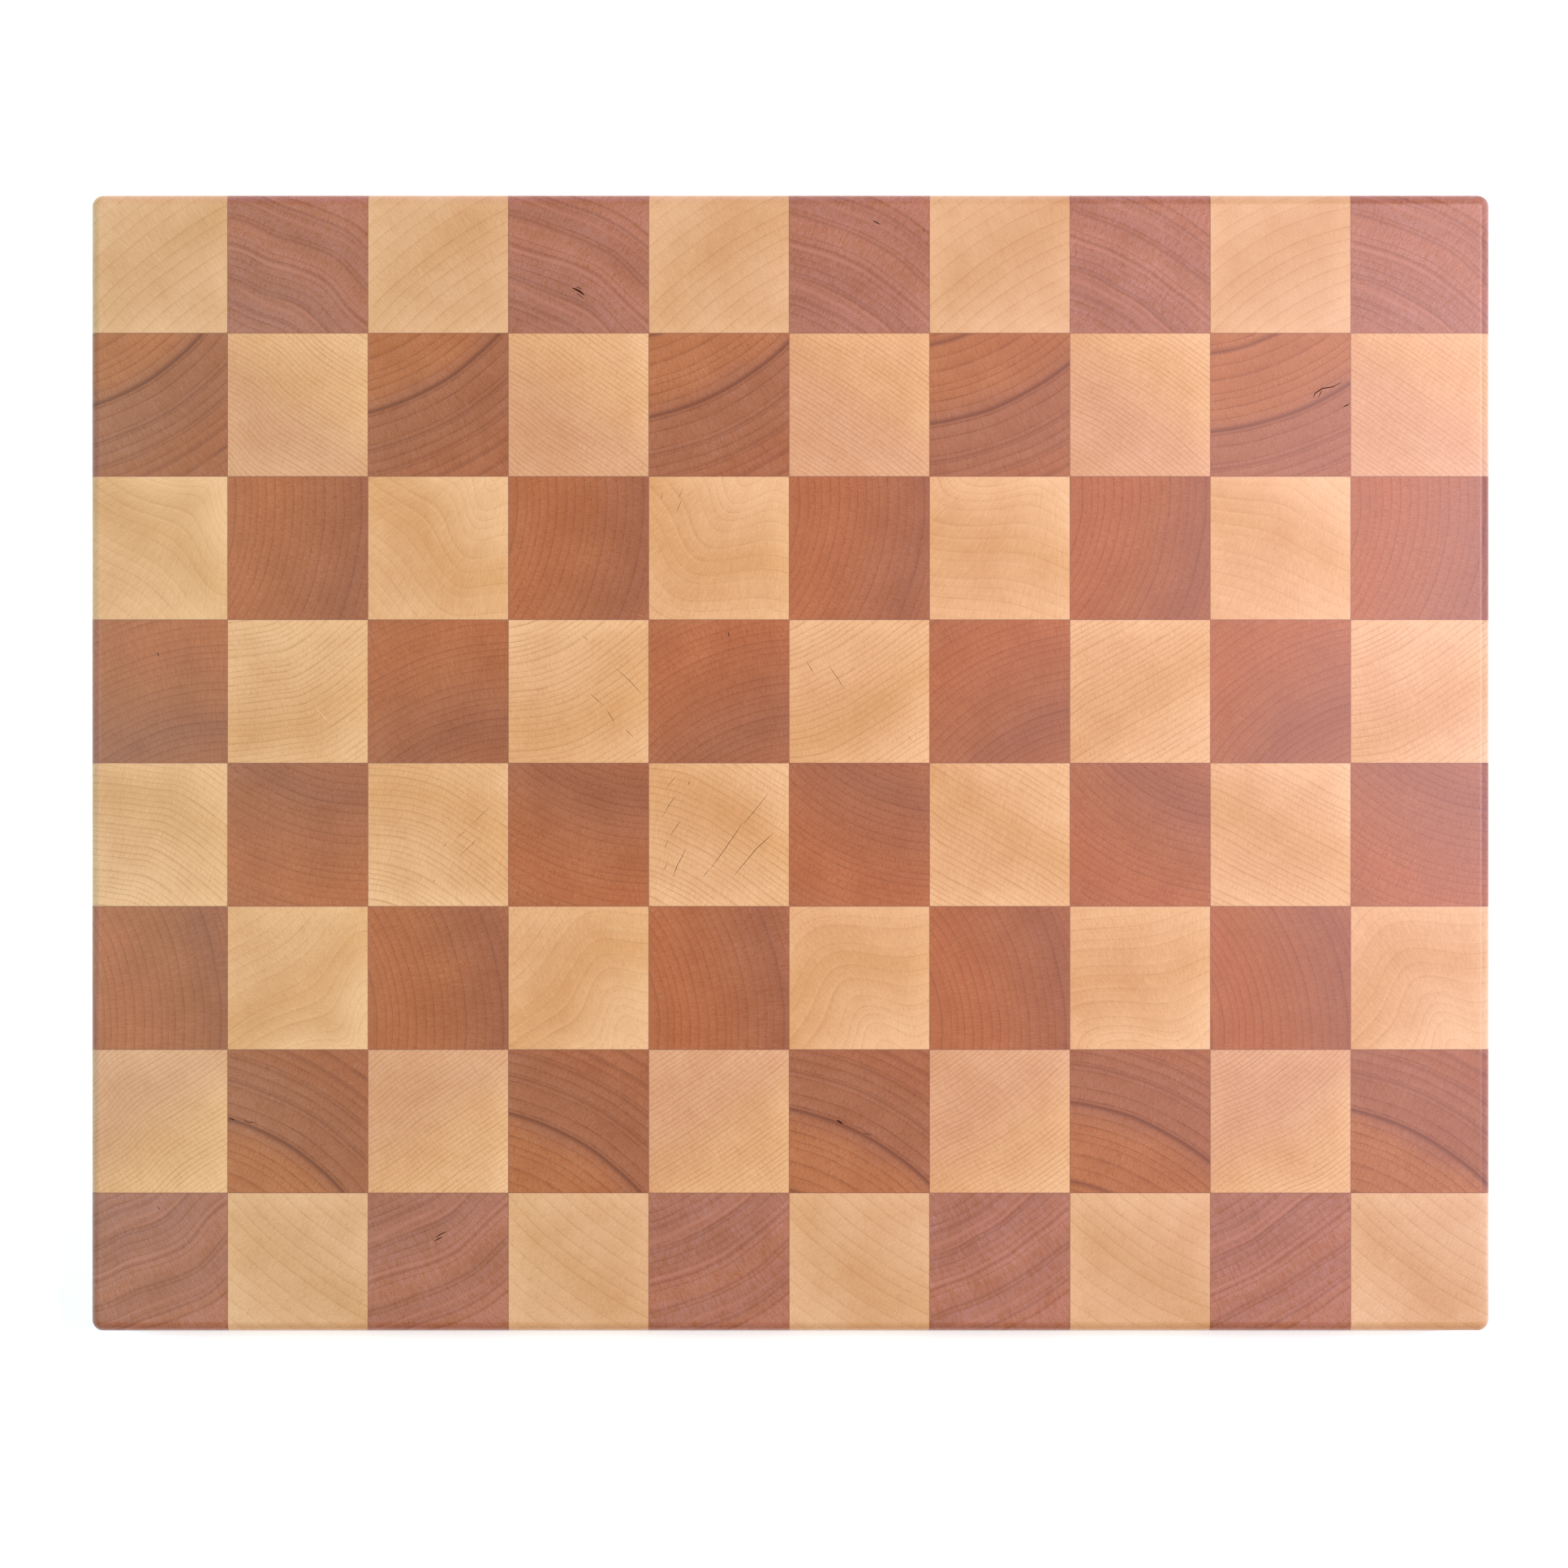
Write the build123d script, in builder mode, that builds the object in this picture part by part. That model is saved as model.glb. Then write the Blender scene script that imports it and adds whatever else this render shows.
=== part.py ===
"""End-grain cutting board: a 10 by 8 checkerboard of maple and cherry blocks.

How the real board is made, and so how it is modelled:

1. Eight strips, maple and cherry in turn, are glued side by side into a panel.
2. The panel is planed and crosscut into ten slices. Each slice is stood up, so that its end grain
   faces up, and every second slice is turned end for end, which makes the checkerboard.
3. The ten slices are glued together. The board is then trimmed, and its corners and edges are rounded.

Each block is its own solid. So is each film of glue: short films between the blocks of a slice, from
the first gluing, and long films between the slices, from the second.

Frame: +Z up, origin at the centre of the underside. Columns (slices) count from 1 at the left, -X.
Rows count from 1 at the back, +Y. All sizes are in millimetres.
"""

from build123d import *
import os

COLUMNS = 10  # slices, side by side along X
ROWS = 8  # blocks in a slice, along Y

STRIP_WIDTH = 44.30  # 8/4 lumber dressed to 1 3/4 in, less its glue film: a block's size along Y
SLICE_WIDTH = 43.40  # the glued panel after planing: a block's size along X
GLUE = 0.15  # thickness of a glue film
THICKNESS = 38.10  # 1 1/2 in, the length of the grain in each block

TRIM_LEFT = 1.10  # sawn off the outer blocks after the last gluing
TRIM_RIGHT = 0.30
TRIM_ENDS = 1.35  # at the front and at the back

CORNER_RADIUS = 3.50  # the four upright corners
EDGE_RADIUS = 3.175  # 1/8 in round-over all the way round, above and below

SLICE_PITCH = SLICE_WIDTH + GLUE
STRIP_PITCH = STRIP_WIDTH + GLUE
BOARD_X = COLUMNS * SLICE_PITCH - GLUE - TRIM_LEFT - TRIM_RIGHT
BOARD_Y = ROWS * STRIP_PITCH - GLUE - 2 * TRIM_ENDS


def column_x(column):
    """Centre of a slice before trimming."""
    return -BOARD_X / 2 - TRIM_LEFT + SLICE_WIDTH / 2 + (column - 1) * SLICE_PITCH


def row_y(row):
    """Centre of a row of blocks before trimming."""
    return BOARD_Y / 2 + TRIM_ENDS - STRIP_WIDTH / 2 - (row - 1) * STRIP_PITCH


def species(row, column):
    """Maple and cherry take turns, with maple in the back left corner."""
    return "maple" if (row + column) % 2 == 0 else "cherry"


def is_outer(row, column):
    return row in (1, ROWS) or column in (1, COLUMNS)


def is_corner(row, column):
    return row in (1, ROWS) and column in (1, COLUMNS)


def make_envelope():
    """The finished outline of the board, which every piece is trimmed to after gluing."""
    with BuildPart() as envelope:
        with BuildSketch(Plane.XY):
            RectangleRounded(BOARD_X, BOARD_Y, CORNER_RADIUS)
        extrude(amount=THICKNESS)
        underside, *_, top = envelope.faces().sort_by(Axis.Z)
        fillet(underside.edges() + top.edges(), EDGE_RADIUS)
    return envelope.part


def make_blocks(cells, envelope):
    """One solid for each (row, column) in cells: a sawn block, trimmed and rounded with the board."""
    with BuildPart() as blocks:
        with BuildSketch(Plane.XY):
            with Locations([(column_x(column), row_y(row)) for row, column in cells]):
                Rectangle(SLICE_WIDTH, STRIP_WIDTH)
        extrude(amount=THICKNESS)
        if any(is_outer(*cell) for cell in cells):
            add(envelope, mode=Mode.INTERSECT)
    return blocks.part


def make_slice_glue(column):
    """The long film between a slice and the next one, along the whole board."""
    film_middle = column_x(column) + SLICE_PITCH / 2
    with BuildPart() as slice_glue:
        with BuildSketch(Plane.YZ.offset(film_middle)):
            with Locations((0, THICKNESS / 2)):
                RectangleRounded(BOARD_Y, THICKNESS, EDGE_RADIUS)
        extrude(amount=GLUE / 2, both=True)
    return slice_glue.part


def make_strip_glue(row):
    """The ten short films between a row and the next one, one in each slice."""
    film_middle = row_y(row) - STRIP_PITCH / 2
    slice_glue_places = [(column_x(k) + SLICE_PITCH / 2, THICKNESS / 2) for k in range(1, COLUMNS)]
    with BuildPart() as strip_glue:
        with BuildSketch(Plane.XZ.offset(-film_middle)):
            with Locations((0, THICKNESS / 2)):
                RectangleRounded(BOARD_X, THICKNESS, EDGE_RADIUS)
            with Locations(slice_glue_places):
                Rectangle(GLUE, THICKNESS, mode=Mode.SUBTRACT)
        extrude(amount=GLUE / 2, both=True)
    return strip_glue.part


def write(part, name):
    part.label = name
    export_step(part, f"parts/{name}.step")


os.makedirs("parts", exist_ok=True)
envelope = make_envelope()

# The blocks round the outside all differ, because each keeps its own share of the rounded edges.
for row in range(1, ROWS + 1):
    for column in range(1, COLUMNS + 1):
        if is_outer(row, column):
            place = "corner" if is_corner(row, column) else "edge"
            outer_block = make_blocks([(row, column)], envelope)
            write(outer_block, f"{place}_block_r{row}_c{column}_{species(row, column)}")

# The blocks inside are all alike, so the four of one wood in a row share a node as four solids.
for row in range(2, ROWS):
    for first_column in (2, 3):
        cells = [(row, column) for column in range(first_column, COLUMNS, 2)]
        inner_blocks = make_blocks(cells, envelope)
        write(inner_blocks, f"inner_blocks_row{row}_{species(row, first_column)}")

for column in range(1, COLUMNS):
    write(make_slice_glue(column), f"slice_glue_film_{column}")

for row in range(1, ROWS):
    write(make_strip_glue(row), f"strip_glue_films_{row}")
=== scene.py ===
"""Looks of an end-grain cutting board: 80 glued blocks of maple and cherry on a pale floor.

The board is sawn from a panel of eight strips. Strip k shows in row k of the odd columns. The even
columns are turned end for end, so there it shows in row 9 - k, mirrored front to back. Each strip
has one solid wood texture, so the growth rings run on from slice to slice and down the sides.

Lengths are in metres in the CAD frame, except inside the wood textures, which work in millimetres.
"""

import math
from dataclasses import dataclass

import bpy
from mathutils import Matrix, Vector
from mathutils.geometry import delaunay_2d_cdt


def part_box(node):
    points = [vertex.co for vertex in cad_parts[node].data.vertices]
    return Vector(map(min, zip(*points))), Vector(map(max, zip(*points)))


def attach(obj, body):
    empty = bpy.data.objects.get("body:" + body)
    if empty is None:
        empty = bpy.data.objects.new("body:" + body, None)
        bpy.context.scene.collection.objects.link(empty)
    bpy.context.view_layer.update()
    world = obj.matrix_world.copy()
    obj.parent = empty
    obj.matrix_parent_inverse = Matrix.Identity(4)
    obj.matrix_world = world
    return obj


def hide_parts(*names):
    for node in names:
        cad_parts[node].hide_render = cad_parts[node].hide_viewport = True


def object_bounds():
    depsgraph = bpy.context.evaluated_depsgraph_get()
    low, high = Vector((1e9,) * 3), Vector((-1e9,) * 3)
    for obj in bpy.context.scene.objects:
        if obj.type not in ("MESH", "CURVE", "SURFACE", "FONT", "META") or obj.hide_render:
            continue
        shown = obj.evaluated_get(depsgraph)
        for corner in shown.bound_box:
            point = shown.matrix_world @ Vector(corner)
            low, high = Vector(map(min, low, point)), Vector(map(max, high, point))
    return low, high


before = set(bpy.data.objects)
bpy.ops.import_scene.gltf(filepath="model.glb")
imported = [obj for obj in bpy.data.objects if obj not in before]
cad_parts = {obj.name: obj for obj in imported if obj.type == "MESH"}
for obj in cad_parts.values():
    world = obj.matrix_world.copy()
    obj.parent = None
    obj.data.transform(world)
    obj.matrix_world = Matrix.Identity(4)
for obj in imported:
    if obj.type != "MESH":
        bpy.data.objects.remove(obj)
BOARD_LOW, BOARD_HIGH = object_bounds()

COLUMNS = 10
ROWS = 8
MM = 0.001
THICKNESS = BOARD_HIGH.z - BOARD_LOW.z
CORNER_RADIUS = 3.5 * MM  # upright corners of the board
EDGE_RADIUS = 3.175 * MM  # round-over along every outer edge
ROUND_STEPS = 8  # facets in a quarter turn
QUARTER_TURN = [math.pi / 2 * k / ROUND_STEPS for k in range(ROUND_STEPS + 1)]
SHARP_EDGE = math.radians(30)

SAW_KERF = 3.2  # mm lost between one slice and the next
SLICE_STEP = THICKNESS / MM + SAW_KERF
HALF_BLOCK_U = 21.70  # mm, half a sawn block along X
HALF_BLOCK_V = 22.15  # mm, half a sawn block along Y

# Where along the panel each slice was sawn, counted in slices.
SLICE_PLACES = (0.0, 1.0, 2.0, 3.0, 4.0, 5.0, 6.6, 7.6, 9.4, 4.5)


# ---------------------------------------------------------------- layout


def species(row, column):
    return "maple" if (row + column) % 2 == 0 else "cherry"


def cad_node(row, column):
    wood = species(row, column)
    across = row in (1, ROWS)
    along = column in (1, COLUMNS)
    if across and along:
        return f"corner_block_r{row}_c{column}_{wood}"
    if across or along:
        return f"edge_block_r{row}_c{column}_{wood}"
    return f"inner_blocks_row{row}_{wood}"


def film_range(node, axis):
    low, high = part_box(node)
    return low[axis], high[axis]


SLICE_FILMS = [film_range(f"slice_glue_film_{k}", 0) for k in range(1, COLUMNS)]
STRIP_FILMS = [film_range(f"strip_glue_films_{k}", 1) for k in range(1, ROWS)]


def column_range(column):
    """Left and right side of the blocks in a column."""
    left = BOARD_LOW.x if column == 1 else SLICE_FILMS[column - 2][1]
    right = BOARD_HIGH.x if column == COLUMNS else SLICE_FILMS[column - 1][0]
    return left, right


def row_range(row):
    """Front and back of the blocks in a row."""
    front = BOARD_LOW.y if row == ROWS else STRIP_FILMS[row - 1][1]
    back = BOARD_HIGH.y if row == 1 else STRIP_FILMS[row - 2][0]
    return front, back


def block_centre(row, column):
    """Middle of the block as sawn, before the board was trimmed."""
    left, right = column_range(column)
    front, back = row_range(row)
    x = right - HALF_BLOCK_U * MM if column == 1 else left + HALF_BLOCK_U * MM
    y = front + HALF_BLOCK_V * MM if row == 1 else back - HALF_BLOCK_V * MM
    return x, y


# ---------------------------------------------------------------- shapes


def edge_profile():
    """(height, inset) pairs up the side of the board, with a quarter round below and above."""
    lower = [(EDGE_RADIUS * (1 - math.cos(t)), EDGE_RADIUS * (1 - math.sin(t))) for t in QUARTER_TURN]
    upper = [(THICKNESS - height, inset) for height, inset in reversed(lower)]
    return lower + upper


def board_corner(x_side, y_side, inset):
    """The board's rounded corner, drawn in by inset, from its X end round to its Y end."""
    centre_x = x_side * (BOARD_HIGH.x - CORNER_RADIUS)
    centre_y = y_side * (BOARD_HIGH.y - CORNER_RADIUS)
    radius = CORNER_RADIUS - inset
    return [
        (centre_x + x_side * radius * math.cos(t), centre_y + y_side * radius * math.sin(t))
        for t in QUARTER_TURN
    ]


def outer_sides(x_range, y_range):
    """Which sides of a piece are on the outside of the board."""
    return {
        "left": x_range[0] <= BOARD_LOW.x,
        "right": x_range[1] >= BOARD_HIGH.x,
        "front": y_range[0] <= BOARD_LOW.y,
        "back": y_range[1] >= BOARD_HIGH.y,
    }


def outline(x_range, y_range, inset):
    """Anticlockwise outline of a piece, where the sides on the outside of the board move in by inset."""
    outer = outer_sides(x_range, y_range)
    left = x_range[0] + inset * outer["left"]
    right = x_range[1] - inset * outer["right"]
    front = y_range[0] + inset * outer["front"]
    back = y_range[1] - inset * outer["back"]
    corners = ((-1, -1, left, front), (1, -1, right, front), (1, 1, right, back), (-1, 1, left, back))
    points = []
    for x_side, y_side, x, y in corners:
        on_x = outer["right"] if x_side > 0 else outer["left"]
        on_y = outer["back"] if y_side > 0 else outer["front"]
        if on_x and on_y:
            arc = board_corner(x_side, y_side, inset)
            points += arc if x_side == y_side else arc[::-1]
        else:
            points.append((x, y))
    return points


CHECK_STEPS = 4  # facets along each stretch of a check
CHECK_TAPER = 0.6  # how blunt the ends of a check are: 1 for a lens shape, less for blunter
WELD_DISTANCE = 1e-9  # points nearer than this become one


@dataclass
class Check:
    """A drying check, crack or gum pocket in the top of a block.

    The path is in shares of the block from its back left corner, to the right and to the front.
    """

    path: tuple
    width: float  # mm
    depth: float  # mm
    shade: float = 1.0  # 1 for dark inside, -1 for a pale scratch


def check_rims(check, x_range, y_range):
    """Middle line, left rim and right rim of a check, which tapers to a point at both ends."""
    wide = x_range[1] - x_range[0]
    deep = y_range[1] - y_range[0]
    corners = [Vector((x_range[0] + a * wide, y_range[1] - b * deep)) for a, b in check.path]
    middle = []
    for start, end in zip(corners, corners[1:]):
        middle += [start.lerp(end, k / CHECK_STEPS) for k in range(CHECK_STEPS)]
    middle.append(corners[-1])
    left, right = [], []
    for k in range(1, len(middle) - 1):
        along = (middle[k + 1] - middle[k - 1]).normalized()
        side = Vector((-along.y, along.x))
        half = check.width * MM / 2 * math.sin(math.pi * k / (len(middle) - 1)) ** CHECK_TAPER
        left.append(middle[k] + side * half)
        right.append(middle[k] - side * half)
    return middle, left, right


def top_face(ring, checks, x_range, y_range):
    """A top face with its checks cut in: its points seen from above, its triangles, the (depth, shade)
    of each point, and which points are those of the ring round it."""
    points = [Vector(p) for p in ring]
    edges = []
    sunk = {}
    for check in checks:
        middle, left, right = check_rims(check, x_range, y_range)
        first = len(points)
        points += middle + left + right
        count = len(middle)
        line = list(range(first, first + count))
        left_rim = [line[0], *range(first + count, first + 2 * count - 2), line[-1]]
        right_rim = [line[0], *range(first + 2 * count - 2, first + 3 * count - 4), line[-1]]
        for chain in (line, left_rim, right_rim):
            edges += list(zip(chain, chain[1:]))
        for index in line[1:-1]:
            sunk[index] = (check.depth * MM, check.shade)
    border = [list(range(len(ring)))]
    inside_only = 1
    flat, _, faces, sources, *_ = delaunay_2d_cdt(points, edges, border, inside_only, WELD_DISTANCE)
    floors = [max((sunk.get(i, (0.0, 0.0)) for i in group), default=(0.0, 0.0)) for group in sources]
    rim_of = {i: k for k, group in enumerate(sources) for i in group}
    return flat, faces, floors, [rim_of[i] for i in range(len(ring))]


def piece_mesh(name, x_range, y_range, checks=()):
    """A closed mesh of a block or glue film, trimmed and rounded with the board.

    Its "pit" attribute is the shade of each point: 0 on sound wood, and a check's shade on its floor.
    """
    rounded = any(outer_sides(x_range, y_range).values())
    levels = edge_profile() if rounded else [(0.0, 0.0), (THICKNESS, 0.0)]
    vertices, faces = [], []
    rings = []
    for height, inset in levels:
        ring = outline(x_range, y_range, inset)
        rings.append(range(len(vertices), len(vertices) + len(ring)))
        vertices += [(x, y, BOARD_LOW.z + height) for x, y in ring]
    count = len(rings[0])
    for lower, upper in zip(rings, rings[1:]):
        for k in range(count):
            after = (k + 1) % count
            faces.append((lower[k], lower[after], upper[after], upper[k]))
    faces.append(tuple(reversed(rings[0])))
    pits = [0.0] * len(vertices)
    if checks:
        top = rings[-1]
        flat, triangles, floors, rim = top_face([vertices[i][:2] for i in top], checks, x_range, y_range)
        index = {k: top[place] for place, k in enumerate(rim)}
        for k, (point, (depth, shade)) in enumerate(zip(flat, floors)):
            if k not in index:
                index[k] = len(vertices)
                vertices.append((point.x, point.y, BOARD_HIGH.z - depth))
                pits.append(shade)
        faces += [tuple(index[i] for i in triangle) for triangle in triangles]
    else:
        faces.append(tuple(rings[-1]))
    mesh = bpy.data.meshes.new(name)
    mesh.from_pydata(vertices, [], faces)
    mesh.validate()
    pit = mesh.attributes.new("pit", "FLOAT", "POINT")
    pit.data.foreach_set("value", pits)
    return mesh


def add_piece(name, mesh, material):
    piece = bpy.data.objects.new(name, mesh)
    bpy.context.scene.collection.objects.link(piece)
    mesh.materials.append(material)
    mesh.shade_smooth()
    mesh.set_sharp_from_angle(angle=SHARP_EDGE)
    weighted = piece.modifiers.new("flat faces stay flat", "WEIGHTED_NORMAL")
    weighted.keep_sharp = True
    return piece


def add_strip_points(mesh, row, column):
    """Stores where each vertex was in its strip: across, up the strip's width, and along the grain."""
    centre_x, centre_y = block_centre(row, column)
    turn = 1 if column % 2 else -1
    values = []
    for vertex in mesh.vertices:
        across = (vertex.co.x - centre_x) / MM
        up = turn * (vertex.co.y - centre_y) / MM
        along = SLICE_PLACES[column - 1] * SLICE_STEP + turn * (vertex.co.z - THICKNESS / 2) / MM
        values += [across, up, along]
    attribute = mesh.attributes.new("strip_point", "FLOAT_VECTOR", "POINT")
    attribute.data.foreach_set("vector", values)


# ---------------------------------------------------------------- node graphs


class Graph:
    """The nodes of a material or the world, with a short method for each kind of step."""

    def __init__(self, owner):
        owner.use_nodes = True
        self.owner = owner
        self.tree = owner.node_tree
        self.tree.nodes.clear()

    def node(self, kind, inputs, **settings):
        node = self.tree.nodes.new(kind)
        for key, value in settings.items():
            setattr(node, key, value)
        for key, value in inputs.items():
            if isinstance(value, bpy.types.NodeSocket):
                self.tree.links.new(value, node.inputs[key])
            else:
                node.inputs[key].default_value = value
        return node

    def math(self, operation, *values):
        return self.node("ShaderNodeMath", dict(enumerate(values)), operation=operation).outputs[0]

    def add(self, a, b):
        return self.math("ADD", a, b)

    def subtract(self, a, b):
        return self.math("SUBTRACT", a, b)

    def multiply(self, a, b):
        return self.math("MULTIPLY", a, b)

    def length(self, x, y):
        return self.math("SQRT", self.add(self.multiply(x, x), self.multiply(y, y)))

    def vector(self, x, y, z):
        return self.node("ShaderNodeCombineXYZ", {0: x, 1: y, 2: z}).outputs[0]

    def scaled(self, axes, scales):
        return [self.multiply(axis, scale) for axis, scale in zip(axes, scales)]

    def separate(self, vector):
        return self.node("ShaderNodeSeparateXYZ", {0: vector}).outputs

    def attribute(self, name):
        return self.node("ShaderNodeAttribute", {}, attribute_name=name, attribute_type="GEOMETRY")

    def noise(self, vector, detail=0.0, roughness=0.5):
        inputs = {"Vector": vector, "Scale": 1.0, "Detail": detail, "Roughness": roughness}
        return self.node("ShaderNodeTexNoise", inputs, noise_dimensions="3D").outputs

    def noise_line(self, value, detail=0.0):
        inputs = {"W": value, "Scale": 1.0, "Detail": detail}
        return self.node("ShaderNodeTexNoise", inputs, noise_dimensions="1D").outputs[0]

    def random(self, value):
        return self.node("ShaderNodeTexWhiteNoise", {"W": value}, noise_dimensions="1D").outputs["Value"]

    def rise(self, value, low, high, to_low=0.0, to_high=1.0):
        """A smooth step of value from low to high."""
        inputs = {0: value, 1: low, 2: high, 3: to_low, 4: to_high}
        return self.node("ShaderNodeMapRange", inputs, interpolation_type="SMOOTHSTEP").outputs[0]

    def ramp(self, value, stops):
        node = self.node("ShaderNodeValToRGB", {0: value})
        elements = node.color_ramp.elements
        while len(elements) < len(stops):
            elements.new(1.0)
        for element, (place, colour) in zip(elements, stops):
            element.position = place
            element.color = colour
        return node.outputs[0]

    def blend(self, share, a, b, kind="MIX"):
        node = self.node("ShaderNodeMix", {0: share, 6: a, 7: b}, data_type="RGBA", blend_type=kind)
        return node.outputs[2]

    def tint(self, colour, amount, weights):
        """Colour times one plus amount, where weights says how far each channel follows."""
        shares = [self.add(1.0, self.multiply(amount, w)) for w in weights]
        inputs = {0: colour, 1: self.vector(*shares)}
        return self.node("ShaderNodeVectorMath", inputs, operation="MULTIPLY").outputs[0]

    def surface(self, colour, roughness, height, bump_mm, glow=0.0):
        bump = self.node("ShaderNodeBump", {"Strength": 1.0, "Distance": bump_mm * MM, "Height": height})
        inputs = {"Base Color": colour, "Roughness": roughness, "Normal": bump.outputs[0], "IOR": 1.5}
        inputs |= {"Emission Color": (1.0, 1.0, 1.0, 1.0), "Emission Strength": glow}
        return self.node("ShaderNodeBsdfPrincipled", inputs).outputs[0]

    def finish(self, surface):
        self.tree.nodes.active = self.node("ShaderNodeOutputMaterial", {"Surface": surface})
        return self.owner


def material_graph(name):
    return Graph(bpy.data.materials.new(name))


def srgb(red, green, blue):
    """A linear colour from the usual 0 to 255 values."""
    linear = [((c / 255 + 0.055) / 1.055) ** 2.4 for c in (red, green, blue)]
    return (*linear, 1.0)


STUDIO_LIGHT = (1.05, 0.98, 0.94)  # how bright a white board would look at its middle, by channel
SHEEN = (0.036, 0.035, 0.047)  # light that the oiled surface adds there
DARKEST = 0.004  # no channel of a surface is darker


def as_lit(red, green, blue):
    """The surface colour that looks like this in the studio light, with the sheen of the oil on it."""
    seen = srgb(red, green, blue)[:3]
    channels = zip(seen, SHEEN, STUDIO_LIGHT)
    return (*[max(colour - sheen, DARKEST) / light for colour, sheen, light in channels], 1.0)


# ---------------------------------------------------------------- wood

MAPLE_PALE = as_lit(229, 176, 124)
MAPLE_MID = as_lit(224, 169, 117)
MAPLE_GOLD = as_lit(217, 160, 106)
MAPLE_PEACH = as_lit(216, 160, 117)
MAPLE_CREAM = as_lit(223, 173, 125)
MAPLE_BUFF = as_lit(215, 164, 115)
MAPLE_LINE = as_lit(170, 114, 70)
MAPLE_STREAK = as_lit(238, 190, 140)
CHERRY_ORANGE = as_lit(182, 116, 82)
CHERRY_RED = as_lit(182, 109, 77)
CHERRY_MID = as_lit(175, 107, 77)
CHERRY_BROWN = as_lit(171, 106, 79)
CHERRY_PURPLE = as_lit(161, 100, 78)
CHERRY_UMBER = as_lit(169, 109, 84)
CHERRY_ROSE = as_lit(183, 123, 101)
CHERRY_MAUVE = as_lit(173, 117, 98)
CHERRY_LINE = as_lit(116, 70, 58)
CHERRY_STREAK = as_lit(200, 134, 110)
# Painted shade: the dark brown inside the maple checks stands in for the shade down in the cracks.
MAPLE_CHECK_SHADE = srgb(120, 74, 44)
BLACK_GUM = srgb(66, 38, 31)
PALE_FLECK = srgb(250, 226, 190)
JOINT_STAIN = srgb(120, 70, 48)


@dataclass
class Wave:
    """A row of even bends of the rings."""

    height: float  # mm
    length: float  # mm
    start: float  # mm round the ring from the strip's middle
    slide: float = 0.0  # mm that the bends move in each slice


@dataclass
class Fold:
    """A bend of the rings: they lean one way before it and the other way after it."""

    slope: float  # how far the rings lean on either side
    width: float  # mm over which they turn
    place: float  # mm round the ring from the strip's middle
    slide: float = 0.0  # mm that the fold moves in each slice


@dataclass
class Mark:
    """One ring that stands out."""

    depth: float  # mm outward from the strip's middle
    strength: float
    width: float  # mm


@dataclass
class Strip:
    """How one strip of the panel was sawn from its tree, and how its wood looks."""

    wood: str
    pith: tuple  # mm across and up from the strip's middle, at the first slice
    drift: tuple  # mm that the pith moves in each slice
    spacing: float  # mm from ring to ring
    irregular: float  # how far ring widths vary, in rings
    line: float  # strength of the dark line of each ring
    line_width: float  # mm
    bands: tuple  # (mm outward from the strip's middle, colour)
    glide: float = 0.0  # mm that the rings move outward in each slice
    warp: float = 0.8  # mm of slow, irregular bending
    folds: tuple = ()
    waves: tuple = ()
    marks: tuple = ()
    streaks: float = 0.0  # strength of pale streaks along the rings
    streak_width: float = 1.1  # mm
    paler_right: float = 0.0  # how much the wood pales from the strip's middle to its right side


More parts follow.
